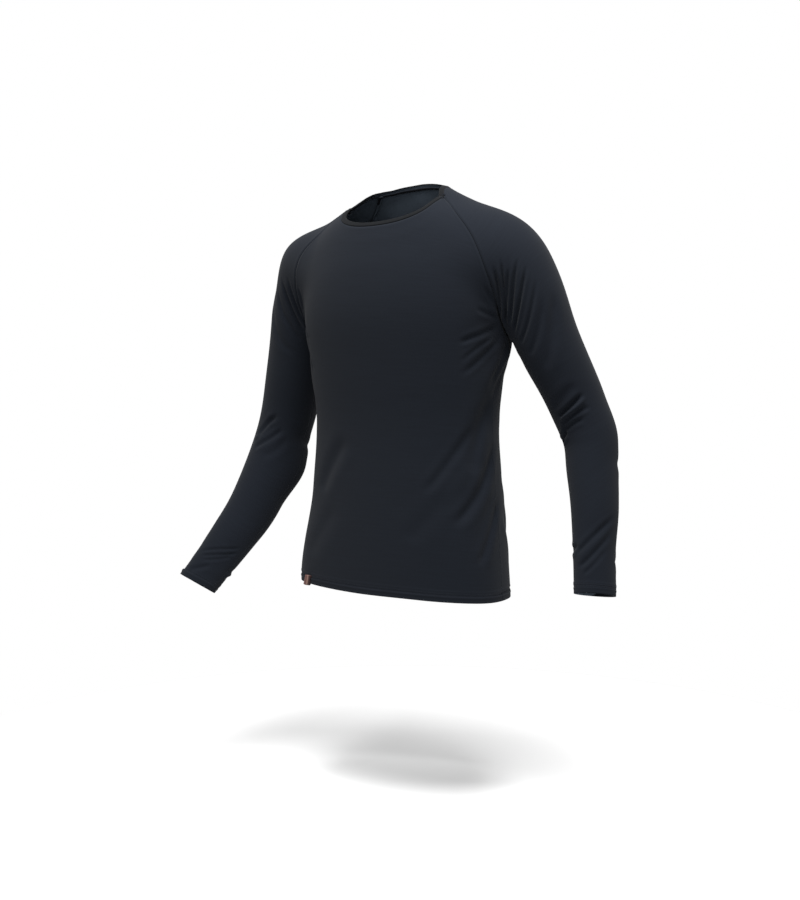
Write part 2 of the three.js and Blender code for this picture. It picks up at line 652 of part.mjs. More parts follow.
function addPiece(name, geometry, finish) {
  const mesh = new THREE.Mesh(geometry, new THREE.MeshStandardMaterial(finish));
  mesh.name = name;
  garment.add(mesh);
}

const never = () => false;
const always = () => true;
const isRing = (r) => r >= YOKE_ROWS;
const turned = (rows) => rows.map((row) => [...row].reverse());

const front = bodyPanel(-1, FRONT_COLUMNS);
const back = bodyPanel(1, BACK_COLUMNS);
const left = sleevePanel("left");
const right = sleevePanel("right");
const neckband = neckbandRows(front, left, back, right);

for (const panel of [front, back]) partSeams(panel, { start: always, end: always, last: true });
for (const sleeve of [left, right]) {
  partSeams(sleeve, { start: (r) => !isRing(r), end: (r) => !isRing(r), first: true });
}

addPiece("front", wallGeometry(front, WALL, never), JERSEY);
addPiece("back", wallGeometry(turned(back), WALL, never), JERSEY);
addPiece("sleeve_left", wallGeometry(turned(left), WALL, isRing), JERSEY);
addPiece("sleeve_right", wallGeometry(right, WALL, isRing), JERSEY);
addPiece("neckband", wallGeometry(neckband, NECKBAND.wall, always), JERSEY);
addPiece("hem_tab", wallGeometry(tabRows(), TAB.wall, never), TAPE);

export default garment;
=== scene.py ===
import math

import bmesh
import bpy
import numpy as np
from mathutils import Matrix, Vector


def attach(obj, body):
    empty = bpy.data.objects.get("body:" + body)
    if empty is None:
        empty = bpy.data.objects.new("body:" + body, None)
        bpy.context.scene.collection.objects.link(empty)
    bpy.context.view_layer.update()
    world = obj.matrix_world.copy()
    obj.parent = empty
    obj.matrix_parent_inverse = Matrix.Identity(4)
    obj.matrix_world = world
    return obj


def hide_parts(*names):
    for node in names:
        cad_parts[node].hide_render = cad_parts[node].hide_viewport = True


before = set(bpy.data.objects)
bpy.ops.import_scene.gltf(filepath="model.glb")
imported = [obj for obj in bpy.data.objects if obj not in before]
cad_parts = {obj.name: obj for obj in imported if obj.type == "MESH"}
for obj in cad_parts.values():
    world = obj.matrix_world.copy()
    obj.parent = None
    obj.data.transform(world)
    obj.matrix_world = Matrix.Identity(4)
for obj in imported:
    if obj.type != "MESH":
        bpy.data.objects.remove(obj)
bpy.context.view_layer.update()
MM = 0.001

# The CAD walls: the columns and rows of quads in their skins, the rows of a sleeve that don't close
# into a ring, and how long the short sides of the strips round open edges are, in millimetres
BODY_COLUMNS = {"front": 26, "back": 22}
BODY_ROWS = 32
SLEEVE_COLUMNS = 20
CAP_ROWS = 12
EDGE_STRIP = (1.2, 2.7)

# The shells, in millimetres: the thickness of the cloth and of the neckband, the height of the turned-up
# hems, how far the seam under the neckband lies above the CAD one, and how much cloth stretches for that
CLOTH = 1.3
BAND_WALL = 1.7
HEM_HEIGHT = 12
BAND_SHIFT = 3.0
BAND_STRETCH = 25

# The edges of a shell
FIRST_COLUMN, LAST_COLUMN, FIRST_ROW, LAST_ROW = range(4)

# Dips along seams: how deep and how wide, in millimetres
RAGLAN_DIP = (0.8, 1.5)
NECK_DIP = (0.6, 1.5)
GATHERED_DIP = (2.0, 2.4)
HEM_DIP = (2.0, 1.6)
# How far the two rows of hem stitches lie from their dip, and how high above the cloth
NEEDLES = 1.4
THREAD_LIFT = 0.1

# Cloth turned in past an edge, in steps: how far on and how deep
UNDER_BAND = [(0.3, 1.6), (4, 2.2)]
LAP_AT_NECK = [(0.3, 1.2), (3, 1.4)]
# The rows of that lap, the rows below the neckband where the inside of turned-in cloth is painted dark,
# as shade, and how far down from the neck the inside of the front and the left sleeve is painted dark, as
# shade
LAP_ROWS = 8
DARK_ROWS = 4
DARK_TOP = 26

# How many straight steps the path of a crease has
PATH_STEPS = 72

# Creases in millimetres: the start, middle and end of each, how wide its soft trough is and how deep,
# with a low ridge on both sides. A negative depth makes it a ridge.
CREASES = [
    # the fan at the left armpit, on the sleeve
    ((188, -54, -124), (189, -37, -166), (183, -18, -204), 2.6, 3.6),
    ((197, -48, -112), (197, -34, -164), (187, -9, -218), 2.3, 3.4),
    ((207, -42, -128), (203, -36, -164), (190, -16, -208), 2.2, 2.6),
    ((221, -36, -112), (213, -35, -158), (198, -18, -214), 2.4, 2.9),
    ((233, -30, -122), (223, -30, -172), (201, -10, -228), 2.4, 3.4),
    ((246, -22, -142), (236, -23, -197), (211, -8, -244), 2.8, 2.4),
    ((254, -16, -168), (246, -14, -220), (225, -6, -262), 4.0, 1.8),
    ((266, 0, -160), (264, -1, -220), (250, 1, -284), 7.0, 2.0),
    # from the left armpit over the front
    ((170, -53, -154), (178, -36, -177), (184, -24, -196), 3.2, 1.6),
    ((160, -57, -189), (169, -41, -196), (181, -19, -203), 3.2, 1.6),
    ((139, -71, -242), (156, -53, -232), (176, -12, -216), 3.6, 2.3),
    ((141, -67, -271), (158, -48, -250), (177, -8, -224), 3.0, 1.2),
    ((138, -66, -292), (158, -39, -266), (177, -1, -229), 4.0, 1.7),
    ((160, -18, -320), (168, 4, -268), (175, 14, -236), 6.0, 1.9),
    ((157, -4, -332), (163, 10, -300), (168, 24, -262), 6.0, 1.4),
    # drapes down the left of the front
    ((161, -4, -320), (153, -26, -376), (148, -44, -446), 13.0, 3.2),
    ((147, -38, -366), (126, -62, -414), (88, -87, -474), 6.0, 2.1),
    ((161, 6, -388), (158, -24, -458), (130, -70, -524), 7.0, 3.8),
    ((167, 10, -482), (168, -16, -532), (162, -44, -586), 6.0, 2.8),
    ((157, -14, -350), (158, -28, -410), (150, -46, -470), 7.0, -1.5),
    ((120, -70, -470), (96, -84, -510), (60, -96, -548), 12.0, 1.2),
    # the right of the front
    ((-50, -95, -388), (-84, -86, -432), (-114, -78, -484), 11.0, 2.2),
    ((-70, -94, -500), (-104, -82, -540), (-134, -66, -590), 13.0, 1.3),
    ((-176, -40, -196), (-160, -60, -212), (-138, -76, -238), 4.0, 1.8),
    ((-175, -16, -222), (-156, -54, -250), (-132, -74, -290), 4.6, 1.8),
    ((-170, 2, -246), (-156, -38, -296), (-140, -58, -346), 6.0, 1.6),
    ((-172, -56, -148), (-170, -54, -166), (-174, -44, -188), 3.2, 1.7),
    # the left elbow and cuff
    ((297, 38, -318), (282, 28, -337), (256, 34, -357), 3.6, 3.9),
    ((300, 38, -322), (287, 31, -340), (259, 33, -362), 3.4, -3.0),
    ((308, 44, -340), (290, 32, -347), (262, 36, -366), 3.2, 2.8),
    ((301, 38, -357), (282, 34, -365), (260, 42, -380), 3.4, 2.5),
    ((272, 38, -378), (262, 46, -386), (256, 58, -396), 3.4, 3.9),
    ((286, 30, -300), (270, 24, -322), (250, 30, -342), 6.0, 1.8),
    ((348, 50, -504), (330, 20, -530), (298, 10, -566), 3.6, 2.5),
    ((349, 42, -526), (332, 14, -556), (306, 6, -584), 3.6, 2.2),
    ((346, 30, -548), (332, 10, -574), (316, 3, -592), 3.0, 1.2),
    ((304, 12, -548), (298, 20, -556), (296, 32, -560), 4.0, 2.4),
    # the right elbow and cuff
    ((-252, -8, -362), (-275, -8, -380), (-296, -6, -404), 4.0, 3.0),
    ((-258, -6, -372), (-280, -8, -388), (-300, 0, -412), 3.6, -1.8),
    ((-244, -4, -386), (-267, -11, -403), (-298, -14, -422), 4.0, 2.5),
    ((-240, 2, -400), (-252, -10, -420), (-280, -18, -436), 6.0, 1.4),
    ((-352, -104, -594), (-322, -93, -590), (-290, -66, -589), 2.4, 1.2),
    ((-348, -106, -601), (-320, -95, -599), (-292, -70, -597), 2.4, 1.4),
    ((-344, -108, -608), (-322, -98, -606), (-300, -78, -603), 2.6, 1.2),
    ((-362, -118, -628), (-344, -112, -622), (-326, -104, -616), 3.4, 1.4),
    ((-372, -118, -634), (-366, -96, -630), (-352, -82, -622), 4.0, -2.4),
    ((-306, -84, -640), (-312, -74, -634), (-324, -66, -632), 3.6, -2.1),
    # the right armpit, on the sleeve
    ((-196, -50, -128), (-192, -38, -166), (-184, -18, -204), 3.2, 2.2),
    ((-214, -40, -128), (-206, -33, -172), (-192, -14, -218), 3.2, 2.3),
    ((-232, -30, -142), (-222, -26, -190), (-202, -8, -236), 3.4, 1.7),
    ((-250, -16, -160), (-240, -16, -214), (-218, -2, -256), 5.0, 1.3),
    # behind both armpits
    ((188, 84, -132), (184, 72, -172), (178, 44, -214), 3.6, 2.3),
    ((212, 78, -136), (204, 70, -180), (188, 46, -226), 3.2, 2.2),
    ((232, 76, -150), (222, 72, -196), (200, 52, -240), 3.6, 1.7),
    ((250, 74, -180), (242, 76, -224), (224, 66, -264), 6.0, 1.3),
    ((138, 92, -190), (158, 78, -204), (176, 44, -214), 3.6, 2.2),
    ((132, 92, -236), (154, 76, -228), (176, 36, -224), 3.8, 2.1),
    ((124, 92, -296), (150, 70, -262), (174, 30, -236), 5.0, 1.8),
    ((-190, 84, -140), (-186, 72, -180), (-178, 44, -222), 3.6, 2.3),
    ((-214, 76, -144), (-206, 70, -188), (-190, 46, -234), 3.2, 2.1),
    ((-236, 74, -164), (-226, 72, -210), (-204, 52, -250), 4.0, 1.6),
    ((-140, 90, -196), (-160, 76, -212), (-176, 44, -224), 3.6, 2.1),
    ((-128, 94, -250), (-152, 76, -238), (-175, 38, -234), 3.8, 2.2),
    ((-122, 90, -310), (-148, 70, -272), (-172, 30, -246), 5.0, 1.7),
    # drapes over the back, where the small of the back gathers
    ((-152, 48, -352), (-112, 80, -386), (-52, 100, -414), 9.0, 3.4),
    ((156, 46, -336), (108, 82, -372), (44, 102, -402), 9.0, 3.1),
    ((-156, 44, -436), (-126, 74, -480), (-72, 104, -524), 9.0, 2.9),
    ((160, 38, -446), (130, 74, -496), (86, 100, -548), 8.0, 3.1),
    ((36, 106, -290), (-14, 106, -322), (-70, 98, -346), 9.0, 1.8),
    ((-60, 104, -440), (-10, 108, -452), (50, 106, -440), 10.0, 1.7),
    ((168, 24, -500), (158, 52, -548), (134, 84, -600), 8.0, 2.3),
    ((-162, 30, -500), (-158, 52, -556), (-140, 80, -604), 8.0, 2.1),
    # the backs of both elbows and cuffs
    ((330, 92, -366), (306, 116, -384), (270, 112, -398), 6.0, 1.7),
    ((334, 70, -420), (322, 96, -436), (296, 106, -440), 7.0, 1.3),
    ((352, 40, -560), (344, 52, -584), (322, 48, -606), 4.0, 1.7),
    ((-232, 22, -400), (-244, 56, -420), (-274, 72, -432), 6.0, 1.8),
    ((-310, 12, -430), (-296, 44, -452), (-268, 58, -458), 6.0, 1.3),
    ((-372, -96, -612), (-352, -66, -606), (-322, -52, -596), 3.6, 1.6),
    ((-362, -86, -590), (-342, -56, -584), (-314, -44, -574), 4.0, 1.3),
]


def smooth(value):
    """A soft step from 0 to 1."""
    value = np.clip(value, 0, 1)
    return value * value * (3 - 2 * value)


def outer_skin(name, way):
    """A copy of a CAD wall, merged, with only the skin left that faces the given way."""
    bm = bmesh.new()
    bm.from_mesh(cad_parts[name].data)
    bmesh.ops.remove_doubles(bm, verts=bm.verts, dist=2e-5)
    bm.normal_update()
    way = Vector(way)
    first = max(bm.faces, key=lambda f: f.calc_center_median().dot(way) + (f.normal.dot(way) > 0.5))
    # Only the strip round an open edge has sides as short as the wall is thick
    short, long = EDGE_STRIP
    strip = {f for e in bm.edges if short < e.calc_length() / MM < long for f in e.link_faces}
    kept, todo = {first}, [first]
    while todo:
        for edge in todo.pop().edges:
            near = set(edge.link_faces) - kept - strip
            kept |= near
            todo.extend(near)
    bmesh.ops.delete(bm, geom=[f for f in bm.faces if f not in kept], context="FACES")
    bm.verts.index_update()
    return bm


def edge_loops(bm):
    """The skin's open edges as loops of vertices."""
    left = {v for v in bm.verts if any(e.is_boundary for e in v.link_edges)}
    loops = []
    while left:
        loop = [left.pop()]
        while True:
            near = [e.other_vert(loop[-1]) for e in loop[-1].link_edges if e.is_boundary]
            near = [v for v in near if v in left]
            if not near:
                break
            left.discard(near[0])
            loop.append(near[0])
        loops.append(loop)
    return loops


def around(v):
    """The vertices that share an edge with this one."""
    return {e.other_vert(v) for e in v.link_edges}


def next_row(row, first, passed, closes):
    """The row of grid points beside a row, from its first point on."""
    found = [first]
    for a in row[1:]:
        near = (around(a) & around(found[-1])) - set(row) - passed - set(found)
        if not near and closes and first in around(a):
            near = {first}
        if len(near) != 1:
            return None
        found.append(near.pop())
    return found


def from_corner(loop, corner, towards):
    """The loop from a corner on, in the direction whose next point is furthest along a way."""
    i = loop.index(corner)
    one, other = loop[i:] + loop[:i], [loop[i]] + (loop[i + 1:] + loop[:i])[::-1]
    return one if one[1].co.dot(Vector(towards)) > other[1].co.dot(Vector(towards)) else other


def places(rows):
    """The places of rows of vertices, as an array."""
    return np.array([[v.co[:] for v in row] for row in rows])


def body_net(name):
    """The skin of the front or back as rows of points, from the hem up and from -X to +X."""
    columns = BODY_COLUMNS[name]
    bm = outer_skin(name, (0, -1 if name == "front" else 1, 0))
    (loop,) = edge_loops(bm)
    corner = min(loop, key=lambda v: v.co.x + v.co.z)
    loop = from_corner(loop, corner, (1, 0, -1))
    row, side = loop[: columns + 1], [corner] + loop[:0:-1]
    rows, passed = [row], set(row)
    for r in range(1, BODY_ROWS + 1):
        row = next_row(row, side[r], passed, False)
        rows.append(row)
        passed |= set(row)
    net = places(rows)
    bm.free()
    return net


def sleeve_net(name):
    """The skin of a sleeve as rows from the neck to the cuff, each from the front seam round."""
    side = 1 if name == "sleeve_left" else -1
    bm = outer_skin(name, (side, 0, 0))
    armhole = max(edge_loops(bm), key=len)
    underarm = min(armhole, key=lambda v: v.co.z)
    loop = from_corner(armhole, underarm, (0, -1, 0))
    row = loop[CAP_ROWS: CAP_ROWS + SLEEVE_COLUMNS + 1]
    seam = loop[: CAP_ROWS + 1][::-1]
    rows, passed = [row], set(row)
    for r in range(1, CAP_ROWS + 1):
        row = next_row(row, seam[r], passed, r == CAP_ROWS)
        rows.append(row)
        passed |= set(row)
    while True:
        start = row[0]
        ahead = start.co - rows[-2][0].co
        near = around(start) - passed
        if not near:
            break
        for first in sorted(near, key=lambda v: -(v.co - start.co).normalized().dot(ahead.normalized())):
            found = next_row(row, first, passed, True)
            if found:
                break
        row = found
        rows.append(row)
        passed |= set(row)
    net = places(rows)
    bm.free()
    return net


def band_net():
    """The skin of the neckband as rings from its seam up, from the back round by the wearer's right."""
    bm = outer_skin("neckband", (0, -1, 0))
    seam = min(edge_loops(bm), key=lambda loop: sum(v.co.z for v in loop) / len(loop))
    row = from_corner(seam, max(seam, key=lambda v: v.co.y), (-1, 0, 0))
    rows, passed = [row], set(row)
    while True:
        start = row[0]
        for first in sorted(around(start) - passed, key=lambda v: (v.co - start.co).length):
            found = next_row(row, first, passed, False)
            if found:
                break
        else:
            break
        row = found
        rows.append(row)
        passed |= set(row)
    net = places([row + row[:1] for row in rows])
    bm.free()
    return net


def spline(count, spots):
    """Weights of a smooth curve's points at some spots, with one point added before and one after."""
    found = np.zeros((len(spots), count + 2))
    for k, spot in enumerate(spots):
        i = min(int(spot), count - 2)
        t = spot - i
        found[k, i: i + 4] = [
            (1 - t) ** 3 / 6,
            (3 * t**3 - 6 * t * t + 4) / 6,
            (-3 * t**3 + 3 * t * t + 3 * t + 1) / 6,
            t**3 / 6,
        ]
    return found


def even_spots(points, step, closer=()):
    """Spots along a row of points, a step apart on average. closer has the shares of the row's length
    near which they lie closer together, and how much."""
    lengths = np.r_[0, np.cumsum(np.linalg.norm(np.diff(points, axis=0), axis=1))]
    fine = np.linspace(0, lengths[-1], 400)
    weight = np.ones(400)
    for at, more in closer:
        weight += more * np.exp(-(((fine - at * lengths[-1]) / (60 * MM)) ** 2))
    total = np.r_[0, np.cumsum((weight[1:] + weight[:-1]) / 2)]
    count = int(round(lengths[-1] / step)) + 1
    found = np.interp(np.linspace(0, total[-1], count), total, fine)
    return np.interp(found, lengths, np.arange(len(points)))


def past_ends(net):
    """The net with one more row before and after, straight on."""
    return np.concatenate([2 * net[:1] - net[1:2], net, 2 * net[-1:] - net[-2:-1]])


def lengths_along(points, axis):
    """How far each point lies along its row or column."""
    steps = np.linalg.norm(np.diff(points, axis=axis), axis=2)
    first = np.zeros_like(np.take(steps, [0], axis=axis))
    return np.concatenate([first, np.cumsum(steps, axis=axis)], axis=axis)


class Shell:
    """A fine grid of points over a net, with its way out and its distances from all four edges.

    side is 1 or -1, and sets which way is out. cap is the net's first row that closes into a ring, or None
    where none does. quad is the length of a quad in millimetres, and finer_rows and finer_columns are the
    places where quads are smaller, as even_spots takes them."""

    def __init__(self, name, net, side, cap, quad, finer_rows=(), finer_columns=()):
        self.name, self.cap, self.side = name, cap, side
        middle = net[:, net.shape[1] // 2]
        self.rows = even_spots(middle, quad * MM, finer_rows)
        widest = net[np.argmax(np.linalg.norm(np.diff(net, axis=1), axis=2).sum(axis=1))]
        self.columns = even_spots(widest, quad * MM, finer_columns)
        wide = np.swapaxes(past_ends(np.swapaxes(net, 0, 1)), 0, 1)
        if cap is not None:
            wide[cap:, 0], wide[cap:, -1] = net[cap:, -2], net[cap:, 1]
        across = spline(net.shape[1], self.columns)
        down = spline(net.shape[0], self.rows)
        points = np.einsum("ri,ijc,kj->rkc", down, past_ends(wide), across)
        self.ring = self.rows >= (len(net) if cap is None else cap)
        if cap:
            # Both sides of the underarm seam meet half way
            gap = (points[:, -1] - points[:, 0])[:, None] / 2 * self.ring[:, None, None]
            near = smooth(1 - self.columns / 2.5)[None, :, None]
            points += gap * near - gap * near[:, ::-1]
        self.points = points
        # The points that build leaves out, and those of turned-in cloth whose inside is painted dark, as
        # shade
        self.gone = np.zeros(points.shape[:2], bool)
        self.dark = np.zeros(points.shape[:2], bool)
        self.measure()

    def measure(self):
        """The ways out, the distances from the edges and the lengths for the UV map, in metres."""
        self.out = self.ways_out()
        along, up = lengths_along(self.points, 1), lengths_along(self.points, 0)
        self.edges = [along, along[:, -1:] - along, up, up[-1:] - up]
        self.uv = np.stack([along, up], axis=2)

    def grow(self, edge, by, ring, over):
        """Stretches the cloth near an edge, so that this edge lies further up a band over it. ring and over
        are the band's lower and upper edges."""
        ends = self.points[-1 if edge == LAST_ROW else 0]
        near = np.linalg.norm(ends[:, None] - ring[None], axis=2).argmin(axis=1)
        on = over[near] - ring[near]
        on = self.rise = on / np.linalg.norm(on, axis=1, keepdims=True)
        near = smooth(1 - self.edges[edge] / (BAND_STRETCH * MM))
        self.points = self.points + on * (by * MM * near)[:, :, None]
        self.measure()

    def nudge(self, rows):
        """Moves the points by small shifts, most at each one's centre."""
        for centre, reach, shift in rows:
            away = np.linalg.norm(self.points - np.array(centre) * MM, axis=2) / (reach * MM)
            self.points = self.points + np.array(shift) * MM * smooth(1 - away)[:, :, None]
        self.measure()

    def roll(self, edge, depth, radius):
        """Turns an edge in, as folded cloth does."""
        near = np.clip(1 - self.edges[edge] / (radius * MM), 0, 1)
        self.points = self.points - self.out * (depth * MM * (1 - np.sqrt(1 - near**2)))[:, :, None]

    def ways_out(self):
        """The direction out of the cloth at each point."""
        out = np.cross(np.gradient(self.points, axis=1), np.gradient(self.points, axis=0)) * self.side
        if self.ring.any():
            both = out[:, 0] + out[:, -1]
            out[self.ring, 0] = out[self.ring, -1] = both[self.ring]
        return out / np.linalg.norm(out, axis=2, keepdims=True)

    def crease(self, rows):
        """Moves the points by the creases. Cloth that faces another way stays as it is."""
        flat, out = self.points.reshape(-1, 3), self.out.reshape(-1, 3)
        lift = np.zeros(len(flat))
        for start, middle, end, width, depth in rows:
            start, middle, end = (np.array(p) * MM for p in (start, middle, end))
            wide = width * MM
            t = np.linspace(0, 1, PATH_STEPS + 1)[:, None]
            # A curve through the middle point
            path = (1 - t) * (1 - 2 * t) * start + 4 * t * (1 - t) * middle + t * (2 * t - 1) * end
            spare = 5 * wide + 12 * MM
            low, high = path.min(axis=0) - spare, path.max(axis=0) + spare
            near = np.nonzero(np.all((flat > low) & (flat < high), axis=1))[0]
            if not len(near):
                continue
            off = flat[near][:, None] - path[None]
            rise = np.einsum("pkc,pc->pk", off, out[near])
            away = np.sqrt(np.maximum(np.einsum("pkc,pkc->pk", off, off) - rise**2, 0))
            # The wall on the other side of a sleeve or the body is out of reach
            away[np.abs(rise) > 22 * MM] += 1
            k = away.argmin(axis=1)
            away = away[np.arange(len(near)), k] / wide
            at = k / PATH_STEPS
            core = path[PATH_STEPS // 2]
            facing = out[near][np.argmin(np.linalg.norm(flat[near] - core, axis=1))]
            same = smooth(1.6 * out[near] @ facing + 0.3)
            # It comes in slowly and runs out fast
            taper = smooth(at / 0.3) * smooth((1 - at) / 0.14) ** 0.7
            shape = -np.exp(-(away**2)) + 0.34 * np.exp(-(((away - 2.1) / 1.1) ** 2))
            lift[near] += depth * MM * shape * taper * same
        self.points = self.points + (self.out.reshape(-1, 3) * lift[:, None]).reshape(self.points.shape)

    def groove(self, edge, dip, when=None, at=0):
        """A thin dip along an edge, as a seam makes, with the cloth a little raised beside it. when has a
        share for each row, and at is how far in from the edge the dip lies."""
        depth, width = dip
        away = np.abs(self.edges[edge] - at * MM) / (width * MM)
        lift = -np.exp(-(away**2)) + 0.3 * np.exp(-(((away - 2.4) / 1.2) ** 2))
        if when is not None:
            lift = lift * when[:, None]
        self.points = self.points + self.out * (lift * depth * MM)[:, :, None]

    def tuck(self, edge, steps, gone=None):
        """More cloth past an edge, turned in under the next panel: how far on and how deep, by steps. gone
        marks the rows or columns without it."""
        axis = 1 if edge in (FIRST_COLUMN, LAST_COLUMN) else 0
        last = edge in (LAST_COLUMN, LAST_ROW)

        def line(array, i):
            """A row or column of the array, counted in from the edge."""
            i = array.shape[axis] - 1 - i if last else i
            return array[:, i: i + 1] if axis else array[i: i + 1]

        point, out, uv = line(self.points, 0), line(self.out, 0), line(self.uv, 0)
        on, uv_on = point - line(self.points, 1), uv - line(self.uv, 1)
        if axis == 0:
            # Under the neckband the cloth goes the band's way
            spare = (point.shape[1] - len(self.rise)) // 2
            on = np.pad(self.rise, ((spare, spare), (0, 0)), mode="edge")[None]
        on = on / np.linalg.norm(on, axis=2, keepdims=True)
        uv_on = uv_on / np.linalg.norm(uv_on, axis=2, keepdims=True)

        def longer(array, added):
            """The array with more rows or columns past the edge."""
            return np.concatenate([array, *added] if last else [*added[::-1], array], axis=axis)

        self.points = longer(self.points, [point + (on * far - out * deep) * MM for far, deep in steps])
        self.out = longer(self.out, [out] * len(steps))
        self.uv = longer(self.uv, [uv + uv_on * (far + deep) * MM for far, deep in steps])
        empty = np.zeros(point.shape[:2], bool)
        if gone is not None:
            empty = empty | (gone[:, None] if axis else gone[None])
        self.gone = longer(self.gone, [empty] * len(steps))
        dark = np.ones(empty.shape, bool)
        if axis:
            # At the sides only the last rows, close under the neckband, have their inside painted dark, as
            # shade
            dark[:-DARK_ROWS] = False
        else:
            line(self.dark, 0)[:] = True
        self.dark = longer(self.dark, [dark] * len(steps))
        if axis == 0:
            self.ring = longer(self.ring, [np.zeros(1, bool)] * len(steps))

    def line_at(self, edge, distance, lift):
        """A line of points at a distance from the shell's first or last row, lifted off the cloth."""
        away, line = self.edges[edge], []
        for c in range(self.points.shape[1]):
            order = np.argsort(away[:, c])
            near = [np.interp(distance * MM, away[order, c], self.points[order, c, k]) for k in range(3)]
            out = [np.interp(distance * MM, away[order, c], self.out[order, c, k]) for k in range(3)]
            line.append(np.array(near) + np.array(out) * lift * MM)
        return np.array(line)

    def build(self, thickness):
        """The shell as a mesh: a grid made by the operator, with its vertices moved. Its UV map is in
        metres. above_hem has each vertex's height above the hem or cuff, or 0 where the inside is painted
        dark, as shade."""
        rows, columns = self.points.shape[:2]
        bm = bmesh.new()
        bmesh.ops.create_grid(bm, x_segments=columns - 1, y_segments=rows - 1, size=1)
        uv = bm.loops.layers.uv.new("cloth")
        hem = bm.verts.layers.float.new("above_hem")
        spot = {}
        for v in bm.verts:
            c = round((v.co.x + 1) / 2 * (columns - 1))
            r = round((v.co.y + 1) / 2 * (rows - 1))
            spot[v.index] = (r, c)
        for face in bm.faces:
            for loop in face.loops:
                loop[uv].uv = self.uv[spot[loop.vert.index]]
        lengths = self.uv[:, :, 1]
        above = lengths.max() - lengths if self.cap else lengths - lengths.min()
        above = np.where(self.dark, 0, above)
        # Near the neck the inside of the front and the left sleeve is painted dark, as shade, instead of
        # the painted light of the rest of the inside
        if self.name in ("front", "sleeve_left"):
            top = lengths[:1] if self.cap else lengths[-1:]
            above = np.where(np.abs(lengths - top) < DARK_TOP * MM, 0, above)
        for v in bm.verts:
            v.co = self.points[spot[v.index]]
            v[hem] = above[spot[v.index]]
        if self.side < 0:
            bmesh.ops.reverse_faces(bm, faces=bm.faces)
        gone = [v for v in bm.verts if self.gone[spot[v.index]]]
        ends = [v for v in bm.verts if spot[v.index][1] in (0, columns - 1) and self.ring[spot[v.index][0]]]
        bmesh.ops.remove_doubles(bm, verts=ends, dist=1e-5)
        bmesh.ops.delete(bm, geom=gone, context="VERTS")
        mesh = bpy.data.meshes.new(self.name)
        bm.to_mesh(mesh)
        bm.free()
        mesh.shade_smooth()
        piece = bpy.data.objects.new("cloth_" + self.name, mesh)
        bpy.context.collection.objects.link(piece)
        wall = piece.modifiers.new("wall", "SOLIDIFY")
        wall.thickness = thickness * MM
        wall.offset = -1
        wall.material_offset = 1
        wall.material_offset_rim = 0
        return piece


def stitching(name, lines, every=3.0, length=2.2, thick=0.42):
    """Rows of thread stitches along some lines, as one piece. The thread is drawn 0.42 mm thick, because
    the real 0.25 mm is too fine to show."""
    bm = bmesh.new()
    for line in lines:
        along = np.r_[0, np.cumsum(np.linalg.norm(np.diff(line, axis=0), axis=1))] / MM
        for at in np.arange(every / 2, along[-1] - every / 2, every):
            ends = [Vector([np.interp(at + half, along, line[:, k]) for k in range(3)])
                    for half in (-length / 2, length / 2)]
            turn = (ends[1] - ends[0]).to_track_quat("Z", "Y").to_matrix().to_4x4()
            place = Matrix.Translation((ends[0] + ends[1]) / 2) @ turn
            bmesh.ops.create_cone(bm, cap_ends=True, segments=6, radius1=thick / 2 * MM,
                                  radius2=thick / 2 * MM, depth=length * MM, matrix=place)
    mesh = bpy.data.meshes.new(name)
    bm.to_mesh(mesh)
    bm.free()
    mesh.shade_smooth()
    piece = bpy.data.objects.new(name, mesh)
    bpy.context.collection.objects.link(piece)
    return piece


def linear(colour):
    """A hex sRGB colour as the linear values that Blender mixes."""
    parts = [int(colour[i: i + 2], 16) / 255 for i in (1, 3, 5)]
    return [p / 12.92 if p <= 0.04045 else ((p + 0.055) / 1.055) ** 2.4 for p in parts] + [1]


def add(material, kind, values=None, **settings):
    """A new shader node, with its settings, and its inputs set or linked."""
    node = material.node_tree.nodes.new("ShaderNode" + kind)
    for key, value in settings.items():
        setattr(node, key, value)
    for key, value in (values or {}).items():
        if isinstance(value, bpy.types.NodeSocket):
            material.node_tree.links.new(value, node.inputs[key])
        else:
            node.inputs[key].default_value = value
    return node


